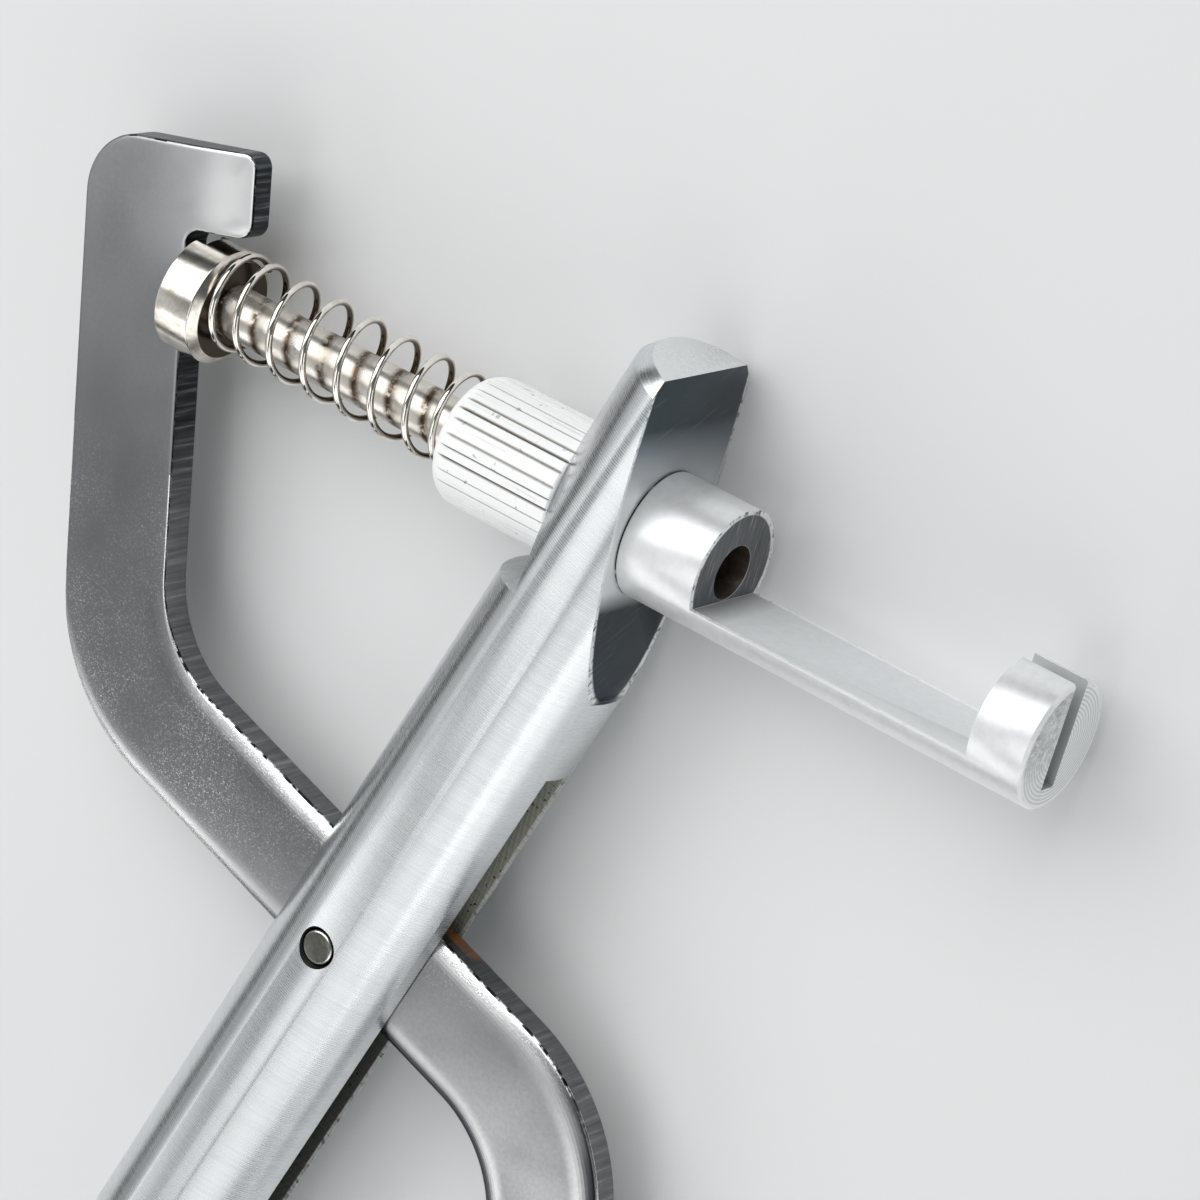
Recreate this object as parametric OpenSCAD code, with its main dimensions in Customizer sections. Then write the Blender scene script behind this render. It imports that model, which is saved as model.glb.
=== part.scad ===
// Pin-pusher pliers for watch bracelets: a round handle bar that leans against a pusher axis,
// and an S-shaped plate lever that drives a sprung plunger into a half-round link cradle.
// X runs along the pusher axis towards the end stop, Y is square to it in the lever's plane,
// Z is the lever's thickness. The origin is the middle of the cradle's floor.
// The working frame below has the pivot at its origin, and placed() moves it to the floor.

/* [Handle bar] */
// Diameter of the round handle bar
bar_d = 13; // [12:0.1:15]
// Length of the bar above the pusher axis
bar_top_len = 13; // [9:0.1:20]
// Length of the bar below the pivot
bar_grip_len = 90; // [60:1:120]
// Lean of the bar towards the cradle, degrees from square to the pusher axis
bar_lean = 16.8; // [12:0.1:20]
// Thickness of the bar between its two milled flats
web_t = 6.6; // [5.6:0.1:7.6]
// Offset of that web from the bar's axis towards the sleeve, at the pusher's height
web_shift = 1.1; // [0:0.1:1.5]
// Depth of the left flat's shoulder below the pusher axis
left_drop = 7; // [6:0.1:9]
// Depth of the right flat's shoulder below the pusher axis
right_drop = 13.8; // [8:0.1:15]
// Width of the turned chamfer on the bar's ends
bar_chamfer = 0.8; // [0.3:0.1:1.5]
// Height of the turned chamfer on the bar's ends
bar_chamfer_h = 1.2; // [0.5:0.1:2]
// Reach of the lever slot above the pivot
slot_up = 22.5; // [14:0.5:25]
// Reach of the lever slot below the pivot
slot_down = 30; // [14:0.5:50]
// Gap between the lever and each wall of its slot
slot_gap = 0.15; // [0.08:0.01:0.3]

/* [Lever] */
// Thickness of the lever plate
plate_t = 3; // [2.4:0.1:4]
// Width of the lever's arms
arm_w = 10.3; // [8:0.1:11]
// Lean of the lever's arms away from the cradle, degrees
arm_lean = 13.5; // [10:0.1:16]
// Distance from the pivot to the upper arm's inner edge
upper_reach = 21.1; // [19:0.1:23]
// Distance from the pivot to the lower arm's inner edge
lower_reach = 13.9; // [13:0.1:18]
// Gap between the plunger's head and the nose above it
nose_gap = 0.3; // [0.2:0.1:4]
// Length of the lower arm below the pivot, along the arm
lever_down = 92; // [60:1:120]
// Thickness of the nose over the plunger
nose_t = 6.6; // [4:0.1:7]
// Overhang of the nose past the arm's inner edge
nose_len = 6; // [3:0.1:7]
// Radius of the lever's shoulder, opposite the nose
shoulder_r = 5; // [2:0.1:8]
// Radius of the nose's corners
nose_r = 1.2; // [0.4:0.1:2]
// Radius inside the notch under the nose
notch_r = 1.2; // [0.4:0.1:1.5]
// Radius inside the two bends
bend_in_r = 10.4; // [6:0.1:12]
// Radius outside the two bends
bend_out_r = 16; // [10:0.1:18]
// Radius of the lower arm's end corners
tip_r = 4.4; // [1:0.1:4.8]

/* [Pivot] */
// Diameter of the pivot pin
pivot_d = 2.8; // [2.4:0.1:3.6]
// Radial running clearance of the lever on the pin
pivot_gap = 0.05; // [0.02:0.01:0.1]
// Width of the flare round each mouth of the pin's hole
flare_w = 0.35; // [0.1:0.05:0.6]
// Depth of the pin's ends under the bar's surface
pivot_sink = 0.1; // [0:0.05:0.4]

/* [Plunger] */
// Height of the pusher axis above the pivot
pusher_h = 41; // [39:0.1:43]
// Diameter of the plunger's head
head_d = 9.5; // [7.6:0.1:10]
// Length of the plunger's head
head_len = 4; // [3:0.1:6]
// Chamfer on the head's spring side
head_chamfer = 0.6; // [0.2:0.1:1.2]
// Depth of the head's slot for the lever's edge
head_slot = 1.15; // [0.6:0.05:2]
// Gap between the lever's edge and the head's slot at rest
rest_gap = 0.1; // [0.05:0.01:0.2]
// Diameter of the plunger's rod
rod_d = 4.2; // [3.4:0.1:4.4]
// Radial running clearance round the rod
rod_gap = 0.08; // [0.03:0.01:0.1]
// Place of the rod's front end, from the right flat
rod_back = 0.6; // [0:0.1:3]
// Diameter of the push pin
pin_d = 1; // [0.6:0.1:1.6]
// Length of the push pin that stands out of the rod
pin_len = 5.8; // [3:0.1:7.2]
// Length of the push pin inside the rod
pin_root = 3; // [1:0.1:6]

/* [Return spring] */
// Diameter of the spring's wire
wire_d = 0.45; // [0.3:0.01:0.5]
// Outer diameter of the spring
spring_d = 8; // [7.6:0.1:8.4]
// Number of curls
curls = 8; // [5:1:9]
// Pitch at the spring's two ends
end_pitch = 0.9; // [0.88:0.01:1.2]
// Curls over which the pitch opens up
ramp_curls = 1.5; // [1:0.1:2]
// Height of the spring's axis above the rod's at the head, as the loose spring rides
spring_lift = 1; // [0:0.05:1.1]
// Height of the spring's axis above the rod's at the sleeve
spring_lift_end = 0.6; // [0:0.05:1.1]
// Angle at which the wire starts, degrees back from the top
spring_turn = 54; // [0:1:359]
// Gap between the wire and each of its two seats
seat_gap = 0.02; // [0.01:0.01:0.05]

/* [Knurled sleeve] */
// Diameter over the knurl
sleeve_d = 10.6; // [9.6:0.1:11.4]
// Length of the sleeve
sleeve_len = 11.2; // [9:0.1:14]
// Number of knurl grooves
knurls = 32; // [16:1:40]
// Depth of the knurl grooves
knurl_depth = 0.3; // [0.1:0.05:0.4]
// Length of the sleeve's rounded outer end
sleeve_round = 1.6; // [0.5:0.1:2.5]
// Drop of that rounded end in radius
sleeve_round_in = 0.9; // [0.3:0.1:1.5]
// Depth of the socket that the cradle's shank screws into
socket_len = 7; // [4:0.1:8]

/* [Cradle] */
// Diameter of the cradle
cradle_d = 10.1; // [9:0.1:11]
// Diameter of the shank through the bar
shank_d = 7; // [6:0.1:7.8]
// Radial clearance of the shank in the bar
shank_gap = 0.03; // [0.01:0.01:0.08]
// Length of the cradle's solid collar in front of the bar
collar_len = 6.9; // [5:0.1:9]
// Length of the open trough that takes the links
trough_len = 24.5; // [15:0.5:30]
// Depth of the trough's floor below the pusher axis
floor_drop = 2.3; // [2.25:0.05:3]
// Length of the end stop
stop_len = 4.6; // [3:0.1:7]
// Width of the slot in the end stop
stop_slot_w = 1.7; // [0.8:0.1:2.5]
// Depth of that slot's floor below the pusher axis
stop_slot_drop = 3.4; // [2.5:0.1:3.8]
// Chamfer on the end stop's outer edge
stop_chamfer = 0.2; // [0.1:0.05:0.5]

/* [Hidden] */
// Facets of round cuts, and the overshoot of every cut past a surface
$fn = 96;
over = 1;

// Unit directions: along the bar, square to it, along the lever's arms, and square to them
bar_dir = [sin(bar_lean), cos(bar_lean)];
arm_dir = [-sin(arm_lean), cos(arm_lean)];
arm_side = [cos(arm_lean), sin(arm_lean)];

// The bar's top, and its flats, from where the bar's axis crosses the pusher axis
bar_up = pusher_h / cos(bar_lean) + bar_top_len;
cross_x = pusher_h * tan(bar_lean);
left_flat = cross_x - web_shift - web_t / 2;
right_flat = left_flat + web_t;

// Places along the pusher axis
collar_end = right_flat + collar_len;
stop_start = collar_end + trough_len;
stop_end = stop_start + stop_len;
sleeve_start = left_flat - sleeve_len;
rod_end = right_flat - rod_back;
seat = [collar_end + trough_len / 2, pusher_h - floor_drop, 0];

// The lever's inner edge beside the head gives the head's place
function edge_x(y) = (-upper_reach - y * sin(arm_lean)) / cos(arm_lean);
slot_floor = edge_x(pusher_h - head_d / 2) + rest_gap;
head_start = slot_floor - head_slot;
head_end = head_start + head_len;

// Outline of the lever
function meet(n, a, m, b) = let (k = n[0] * m[1] - n[1] * m[0])
    [(a * m[1] - b * n[1]) / k, (b * n[0] - a * m[0]) / k];
function unit(a) = a / norm(a);
upper_out = upper_reach + arm_w;
lower_out = lower_reach + arm_w;
nose_end = upper_reach - nose_len;
nose_low = (pusher_h + head_d / 2) * cos(arm_lean) - head_start * sin(arm_lean) + nose_gap;
lever_up = nose_low + nose_t;
// Each corner is a place and its radius
corners = [
    [meet(arm_side, -upper_out, arm_dir, lever_up), shoulder_r],
    [meet(arm_side, -upper_out, bar_dir, -arm_w / 2), bend_out_r],
    [meet(bar_dir, -arm_w / 2, arm_side, lower_reach), bend_in_r],
    [meet(arm_side, lower_reach, arm_dir, -lever_down), tip_r],
    [meet(arm_side, lower_out, arm_dir, -lever_down), tip_r],
    [meet(bar_dir, arm_w / 2, arm_side, lower_out), bend_out_r],
    [meet(arm_side, -upper_reach, bar_dir, arm_w / 2), bend_in_r],
    [meet(arm_side, -upper_reach, arm_dir, nose_low), notch_r],
    [meet(arm_side, -nose_end, arm_dir, nose_low), nose_r],
    [meet(arm_side, -nose_end, arm_dir, lever_up), nose_r]
];
// Degrees between two points of a rounded corner
arc_step = 6;
function rounded(p, v, q, r) =
    let (
        a = unit(p - v),
        b = unit(q - v),
        half = acos(a * b) / 2,
        c = v + unit(a + b) * r / sin(half),
        s = v + a * r / tan(half) - c,
        turn = 180 - 2 * half,
        way = a[0] * b[1] - a[1] * b[0] > 0 ? -1 : 1,
        n = ceil(turn / arc_step)
    )
    [for (i = [0:n]) let (t = way * turn * i / n) c + [s[0] * cos(t) - s[1] * sin(t), s[0] * sin(t) + s[1] * cos(t)]];
corner_count = len(corners);
outline = [
    for (i = [0:corner_count - 1])
        each rounded(
            corners[(i + corner_count - 1) % corner_count][0],
            corners[i][0],
            corners[(i + 1) % corner_count][0],
            corners[i][1]
        )
];

// The spring's wire: 8 rings a curl, 6 sides a ring, from the head to the sleeve
rings_per_curl = 8;
wire_sides = 6;
coil_r = (spring_d - wire_d) / 2;
coil_start = head_end + wire_d / 2 + seat_gap;
coil_len = sleeve_start - head_end - wire_d - 2 * seat_gap;
free_pitch = end_pitch + (coil_len - curls * end_pitch) / (curls - ramp_curls);
function opened(t) = t < ramp_curls ? t * t / (2 * ramp_curls) : t - ramp_curls / 2;
function along(t) = end_pitch * t + (free_pitch - end_pitch)
    * (t < curls / 2 ? opened(t) : curls - ramp_curls - opened(curls - t));
function coil_angle(t) = 360 * t - spring_turn;
function coil_lift(t) = spring_lift + (spring_lift_end - spring_lift) * t / curls;
function coil_point(t) = [
    coil_start + along(t),
    pusher_h + coil_lift(t) + coil_r * cos(coil_angle(t)),
    coil_r * sin(coil_angle(t))
];
function coil_dir(t) = unit(coil_point(t + 0.01) - coil_point(t - 0.01));
coil_rings = curls * rings_per_curl;
function wire_ring(i) =
    let (
        t = i / rings_per_curl,
        d = coil_dir(min(max(t, 0.01), curls - 0.01)),
        out = [0, cos(coil_angle(t)), sin(coil_angle(t))],
        side = unit(cross(d, out)),
        c = coil_point(t)
    )
    [for (k = [0:wire_sides - 1]) let (g = 360 * k / wire_sides)
        c + wire_d / 2 * (cos(g) * out + sin(g) * side)];
wire_points = [for (i = [0:coil_rings]) each wire_ring(i)];
last_ring = coil_rings * wire_sides;
wire_faces = concat(
    [for (k = [1:wire_sides - 2]) [0, k, k + 1]],
    [for (k = [1:wire_sides - 2]) [last_ring, last_ring + k + 1, last_ring + k]],
    [for (i = [0:coil_rings - 1], k = [0:wire_sides - 1])
        let (a = i * wire_sides, b = a + wire_sides, n = (k + 1) % wire_sides)
        each [[a + k, b + k, b + n], [a + k, b + n, a + n]]]
);
// The wire's least gap to the next curl, measured on points half a ring apart
probe = [for (i = [0:2 * coil_rings]) coil_point(i / (2 * rings_per_curl))];
near_curl = 2 * rings_per_curl * 3 / 4;
coil_gap = min([
    for (i = [0:len(probe) - 1 - near_curl], j = [i + near_curl:min(i + 2 * near_curl, len(probe) - 1)])
        norm(probe[i] - probe[j]) - wire_d
]);
echo(least_gap_of_the_spring_to_itself = coil_gap);

// Moves a piece from the working frame, with the pivot at its origin, to the part's frame
module placed() translate(-seat) children();

// Lays a solid that stands along Z down along the pusher axis, from x onwards
module on_axis(x) translate([x, pusher_h, 0]) rotate([0, 90, 0]) children();

// Stands a solid up along the bar, with Z running up the bar's axis from the pivot
module along_bar() rotate([0, 0, -bar_lean]) rotate([-90, 0, 0]) children();

// A round bar from z = a to z = b with a chamfer on both ends
module chamfered_bar(r, a, b, w, h) rotate_extrude()
    polygon([[0, a], [r - w, a], [r, a + h], [r, b - h], [r - w, b], [0, b]]);

// The block that mills one flat: from x outwards, above y
module flat_cut(x, y, way) {
    far = 2 * bar_d;
    translate([way > 0 ? x : x - far, y, -bar_d]) cube([far, bar_up, 2 * bar_d]);
}

module handle_bar() placed() color("silver") difference() {
    along_bar() chamfered_bar(bar_d / 2, -bar_grip_len, bar_up, bar_chamfer, bar_chamfer_h);
    flat_cut(left_flat, pusher_h - left_drop, -1);
    flat_cut(right_flat, pusher_h - right_drop, 1);
    // Through slot for the lever
    along_bar() translate([-bar_d, -plate_t / 2 - slot_gap, -slot_down])
        cube([2 * bar_d, plate_t + 2 * slot_gap, slot_down + slot_up]);
    // Bore for the cradle's shank
    on_axis(left_flat - over) cylinder(h = web_t + 2 * over, r = shank_d / 2 + shank_gap);
    // Pivot hole with its flared mouths
    translate([0, 0, -bar_d]) cylinder(h = 2 * bar_d, r = pivot_d / 2);
    for (side = [0, 180])
        rotate([0, side, 0]) translate([0, 0, bar_d / 2 - 2 * flare_w])
            cylinder(h = 4 * flare_w, r1 = pivot_d / 2, r2 = pivot_d / 2 + 2 * flare_w);
}

module lever() placed() color("dimgray") translate([0, 0, -plate_t / 2]) linear_extrude(plate_t)
    difference() {
        polygon(outline);
        circle(r = pivot_d / 2 + pivot_gap);
    }

module pivot_pin() placed() color("gray") {
    end = bar_d / 2 - pivot_sink;
    chamfered_bar(pivot_d / 2, -end, end, 0.15, 0.15);
}

module plunger_head() placed() color("lightgray") difference() {
    on_axis(head_start) rotate_extrude() polygon([
        [rod_d / 2, head_slot], [0, head_slot], [0, 0], [head_d / 2, 0],
        [head_d / 2, head_len - head_chamfer], [head_d / 2 - head_chamfer, head_len], [rod_d / 2, head_len]
    ]);
    // Slot across the face that the lever's edge rides in
    translate([head_start - over, pusher_h - head_d, -plate_t / 2 - slot_gap])
        cube([head_slot + over, 2 * head_d, plate_t + 2 * slot_gap]);
}

module plunger_rod() placed() color("lightgray") difference() {
    on_axis(slot_floor) cylinder(h = rod_end - slot_floor, r = rod_d / 2);
    on_axis(rod_end - pin_root) cylinder(h = pin_root + over, r = pin_d / 2);
}

module push_pin() placed() color("gray")
    on_axis(rod_end - pin_root) cylinder(h = pin_root + pin_len, r = pin_d / 2);

module return_spring() placed() color("lightgray")
    polyhedron(points = wire_points, faces = wire_faces);

// Half section of the sleeve's rounded end, as a quarter of an ellipse
sleeve_r = sleeve_d / 2;
round_steps = 6;
sleeve_profile = concat(
    [[0, 0]],
    [for (i = [0:round_steps]) let (t = 90 * i / round_steps)
        [sleeve_r - sleeve_round_in * (1 - sin(t)), sleeve_round * (1 - cos(t))]],
    [[sleeve_r, sleeve_len], [0, sleeve_len]]
);
module knurled_sleeve() placed() color("whitesmoke") difference() {
    on_axis(sleeve_start) rotate_extrude() polygon(sleeve_profile);
    on_axis(sleeve_start) for (i = [0:knurls - 1])
        rotate([0, 0, 360 * (i + 0.5) / knurls]) translate([sleeve_r, 0, -over]) rotate([0, 0, 45])
            translate([-knurl_depth / sqrt(2), -knurl_depth / sqrt(2), 0])
                cube([sqrt(2) * knurl_depth, sqrt(2) * knurl_depth, sleeve_len + 2 * over]);
    on_axis(sleeve_start - over) cylinder(h = sleeve_len + 2 * over, r = rod_d / 2 + rod_gap);
    on_axis(left_flat - socket_len) cylinder(h = socket_len + over, r = shank_d / 2);
}

module cradle() placed() color("whitesmoke") difference() {
    on_axis(0) rotate_extrude() polygon([
        [0, left_flat - socket_len], [shank_d / 2, left_flat - socket_len], [shank_d / 2, right_flat],
        [cradle_d / 2, right_flat], [cradle_d / 2, stop_end - stop_chamfer],
        [cradle_d / 2 - stop_chamfer, stop_end], [0, stop_end]
    ]);
    on_axis(left_flat - socket_len - over)
        cylinder(h = collar_end - left_flat + socket_len + 2 * over, r = rod_d / 2 + rod_gap);
    // The open trough over its flat floor
    translate([collar_end, pusher_h - floor_drop, -cradle_d]) cube([trough_len, 2 * cradle_d, 2 * cradle_d]);
    // Slot down the end stop
    translate([stop_start - over, pusher_h - stop_slot_drop, -stop_slot_w / 2])
        cube([stop_len + 2 * over, 2 * cradle_d, stop_slot_w]);
}

handle_bar();
lever();
pivot_pin();
plunger_head();
plunger_rod();
push_pin();
return_spring();
knurled_sleeve();
cradle();
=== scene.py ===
import math
from functools import partial

import bmesh
import bpy
import numpy as np
from mathutils import Matrix, Vector


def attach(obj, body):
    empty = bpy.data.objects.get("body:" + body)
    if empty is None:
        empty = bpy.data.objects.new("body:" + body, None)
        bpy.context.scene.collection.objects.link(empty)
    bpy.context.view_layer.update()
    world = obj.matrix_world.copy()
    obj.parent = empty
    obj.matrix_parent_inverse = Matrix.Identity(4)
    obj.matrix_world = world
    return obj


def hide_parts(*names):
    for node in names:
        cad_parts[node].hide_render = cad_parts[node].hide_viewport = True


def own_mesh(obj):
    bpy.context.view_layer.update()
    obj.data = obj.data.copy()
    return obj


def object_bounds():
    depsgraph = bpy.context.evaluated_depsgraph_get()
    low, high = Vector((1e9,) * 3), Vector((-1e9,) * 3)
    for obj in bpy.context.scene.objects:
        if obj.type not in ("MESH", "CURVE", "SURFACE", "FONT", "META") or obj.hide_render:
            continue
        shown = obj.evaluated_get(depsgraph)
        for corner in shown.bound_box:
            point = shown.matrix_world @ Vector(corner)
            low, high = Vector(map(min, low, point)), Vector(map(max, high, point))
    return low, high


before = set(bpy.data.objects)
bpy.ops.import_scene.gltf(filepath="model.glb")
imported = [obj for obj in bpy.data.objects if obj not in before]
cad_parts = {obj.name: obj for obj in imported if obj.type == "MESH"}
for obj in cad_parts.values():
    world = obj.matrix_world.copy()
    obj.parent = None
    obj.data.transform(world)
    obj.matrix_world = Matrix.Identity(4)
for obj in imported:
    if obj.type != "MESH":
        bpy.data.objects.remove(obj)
cadLow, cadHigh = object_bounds()
scene = bpy.context.scene
print("frame loaded")

# Lengths are in millimetres, in the part's frame: X along the pusher axis, Y out of the cradle, Z through
# the lever's thickness. mm turns them to metres when a mesh or a material is made, and n / mm is the
# scale of a pattern with n grains to the millimetre. Grit is drawn as coarse as it needs to show.
mm = 0.001
axisY = 2.3  # height of the pusher axis over the cradle's floor
pivot = np.array([-33.729, -38.7])  # the lever's pivot, in X and Y
barLean = math.radians(16.8)
barDir = np.array([math.sin(barLean), math.cos(barLean)])
armLean = math.radians(13.5)
armDir = np.array([-math.sin(armLean), math.cos(armLean)])
armSide = np.array([math.cos(armLean), math.sin(armLean)])
leftFlat, rightFlat = -25.75, -19.15  # the bar's two flats, in X
slotHalf = 1.65  # half the width of the slots that take the lever
springStart, springEnd = -61.181, -36.95  # the plunger head's and the sleeve's faces, in X
curlPitch = 3.43  # pitch of the spring's open curls
waveScale = 0.314159  # a wave texture of this scale repeats once in a unit of length


# Nodes and colours

def linear(hexText):
    # sRGB hex to linear: each channel through the sRGB curve
    parts = [int(hexText[i : i + 2], 16) / 255 for i in (1, 3, 5)]
    return [c / 12.92 if c <= 0.04045 else ((c + 0.055) / 1.055) ** 2.4 for c in parts] + [1.0]


def addNode(tree, kind, inputs=(), out="", stops=(), **settings):
    # adds one node, its kind followed by its operation or a Mix node's type of data, and gives one of its
    # outputs: the first it shows, or the one that out names. inputs holds numbers, hex colours and outputs
    # to link, for the inputs it shows in their order, or by name: a noise shows its place, scale, detail
    # and roughness, a MapRange its value, the range it comes from and the one it goes to. settings are
    # the node's own properties, and stops are a colour ramp's places and colours
    kind, _, choice = kind.partition(" ")
    node = tree.nodes.new("ShaderNode" + kind)
    if choice:
        settings["data_type" if kind == "Mix" else "operation"] = choice
    for name, value in settings.items():
        setattr(node, name, value)
    shown = [k for k, socket in enumerate(node.inputs) if socket.enabled]
    for name, value in inputs.items() if isinstance(inputs, dict) else zip(shown, inputs):
        if isinstance(value, bpy.types.NodeSocket):
            tree.links.new(value, node.inputs[name])
        else:
            node.inputs[name].default_value = linear(value) if isinstance(value, str) else value
    for k, (place, hexText) in enumerate(stops):
        elements = node.color_ramp.elements
        element = elements[k] if k < 2 else elements.new(1.0)
        element.position, element.color = place, linear(hexText)
    return node.outputs[out] if out else next((socket for socket in node.outputs if socket.enabled), None)


def newMaterial(name, *maskNames):
    # an empty material, the function that adds a node to it, its place on the piece and the masks it reads
    material = bpy.data.materials.new(name)
    material.use_nodes = True
    material.node_tree.nodes.clear()
    add = partial(addNode, material.node_tree)
    masks = [add("Attribute", out="Fac", attribute_name=maskName) for maskName in maskNames]
    return material, add, add("TexCoord", out="Object"), *masks


def finished(material, add, shader):
    # ends a material in one shader with these inputs
    add("OutputMaterial", (add("BsdfPrincipled", shader),))
    return material


def stretched(add, place, grains, detail, rough=0.6):
    # noise drawn out along some of the axes: so many grains to the millimetre along X, Y and Z
    squeezed = add("VectorMath MULTIPLY", (place, [n / mm for n in grains]))
    return add("TexNoise", (squeezed, 1.0, detail, rough))


def brokenRim(add, place, across, start, end):
    # a thin broken line where a milled face runs out at the round it was cut from: place is measured
    # from the round's axis, across leaves out its length, start and end are radii in millimetres
    square = add("VectorMath MULTIPLY", (place, across))
    reach = add("VectorMath LENGTH", (square,))
    grain = add("TexNoise", (place, 2 / mm, 3.0, 0.6))
    gaps = add("MapRange", (grain, 0.3, 0.5))
    return add("Math MULTIPLY", (add("MapRange", (reach, start * mm, end * mm)), gaps))


# Meshes

def addObject(name, data):
    # an object at the origin, shown in the scene
    made = bpy.data.objects.new(name, data)
    scene.collection.objects.link(made)
    return made


def pieceFromGrid(name, grid, closeRows=False, capEnds=False, smoothDegrees=35):
    # grid[i, j] is the point at row i and column j, in millimetres. Four neighbours make a quad, and the
    # last column joins the first; the rows close up as well or end open, or in a flat cap. Seams and
    # poles are merged, faces turned outwards, and all but the sharp edges smoothed
    rows, columns = grid.shape[:2]
    i = np.arange(rows if closeRows else rows - 1)[:, None]
    j = np.arange(columns)[None]
    below, beside = (i + 1) % rows, (j + 1) % columns
    faces = np.stack([i * columns + j, i * columns + beside, below * columns + beside, below * columns + j], -1)
    faces = faces.reshape(-1, 4).tolist()
    if capEnds:
        faces += [[row * columns + k for k in range(columns)] for row in (0, rows - 1)]
    mesh = bpy.data.meshes.new(name)
    mesh.from_pydata((grid.reshape(-1, 3) * mm).tolist(), [], faces)
    work = bmesh.new()
    work.from_mesh(mesh)
    bmesh.ops.remove_doubles(work, verts=work.verts, dist=2e-7)
    bmesh.ops.dissolve_degenerate(work, edges=work.edges, dist=1e-7)
    bmesh.ops.recalc_face_normals(work, faces=work.faces)
    work.to_mesh(mesh)
    work.free()
    mesh.shade_smooth()
    mesh.set_sharp_from_angle(angle=math.radians(smoothDegrees))
    return addObject(name, mesh)


def applyModifiers(piece):
    # swaps the mesh for the one its modifiers make, and drops the modifiers
    made = bpy.data.meshes.new_from_object(piece.evaluated_get(bpy.context.evaluated_depsgraph_get()))
    piece.modifiers.clear()
    piece.data = made


def cutAway(piece, cutter, smoothDegrees=35):
    # takes the cutter's shape out of a piece for good
    cut = piece.modifiers.new("cut", "BOOLEAN")
    cut.operation = "DIFFERENCE"
    cut.solver = "EXACT"
    cut.object = cutter
    applyModifiers(piece)
    bpy.data.objects.remove(cutter)
    piece.data.set_sharp_from_angle(angle=math.radians(smoothDegrees))


def around(x, radius, segments=128, middle=None):
    # carries a profile of distances along an axis and radii round it: the pusher axis, or one through
    # middle along Z
    angle = np.linspace(0, 2 * np.pi, segments, endpoint=False)
    x, radius = np.array([x, radius], float)[..., None]
    if middle is None:
        sides = [x + 0 * angle, axisY + radius * np.cos(angle), radius * np.sin(angle)]
    else:
        sides = [middle[0] + radius * np.cos(angle), middle[1] + radius * np.sin(angle), x + 0 * angle]
    return np.stack(sides, -1)


def rounded(corners, steps):
    # a path through corners (x, y, radius); each corner is an arc of that radius, touching both sides
    path = []
    for k, (x, y, r) in enumerate(corners):
        v = np.array([x, y])
        if r <= 0 or k in (0, len(corners) - 1):
            path.append(v[None])
            continue
        a = np.array(corners[k - 1][:2]) - v
        b = np.array(corners[k + 1][:2]) - v
        a, b = a / np.linalg.norm(a), b / np.linalg.norm(b)
        half = math.acos(np.clip(a @ b, -1, 1)) / 2
        centre = v + (a + b) / np.linalg.norm(a + b) * r / math.sin(half)
        start = v + a * r / math.tan(half) - centre
        turn = (math.pi - 2 * half) * (-1 if a[0] * b[1] - a[1] * b[0] > 0 else 1)
        t = turn * np.linspace(0, 1, steps + 1)
        arc = [start[0] * np.cos(t) - start[1] * np.sin(t), start[0] * np.sin(t) + start[1] * np.cos(t)]
        path.append(centre + np.stack(arc, -1))
    return np.concatenate(path)


def edgedCopy(name, node, width):
    # a merged copy of a CAD node with its sharp edges broken by a small round of that width
    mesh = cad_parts[node].data.copy()
    mesh.name = name
    mesh.materials.clear()
    work = bmesh.new()
    work.from_mesh(mesh)
    bmesh.ops.remove_doubles(work, verts=work.verts, dist=1e-6)
    bmesh.ops.dissolve_limit(work, angle_limit=math.radians(0.6), verts=work.verts, edges=work.edges)
    work.to_mesh(mesh)
    work.free()
    piece = addObject(name, mesh)
    bevel = piece.modifiers.new("broken edges", "BEVEL")
    bevel.width = width * mm
    bevel.segments = 2
    applyModifiers(piece)
    piece.data.shade_smooth()
    piece.data.set_sharp_from_angle(angle=math.radians(32))
    return piece


def standFor(piece, body, material, node):
    # gives a piece its material and its body, and hides the CAD node that it stands for
    piece.data.materials.clear()
    piece.data.materials.append(material)
    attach(piece, body)
    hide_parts(node)


def faceMasks(piece, **tests):
    # stores what each test(centres in millimetres, normals) gives for each face: 1, 0 or a share between
    mesh = piece.data
    centre, normal = np.empty((2, len(mesh.polygons) * 3))
    mesh.polygons.foreach_get("center", centre)
    mesh.polygons.foreach_get("normal", normal)
    for name, test in tests.items():
        value = test(centre.reshape(-1, 3) / mm, normal.reshape(-1, 3)).astype(float)
        mesh.attributes.new(name, "FLOAT", "FACE").data.foreach_set("value", value)


# Lever: the plate's outline follows two rails, one up each side of the S, and a section is carried along them

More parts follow.
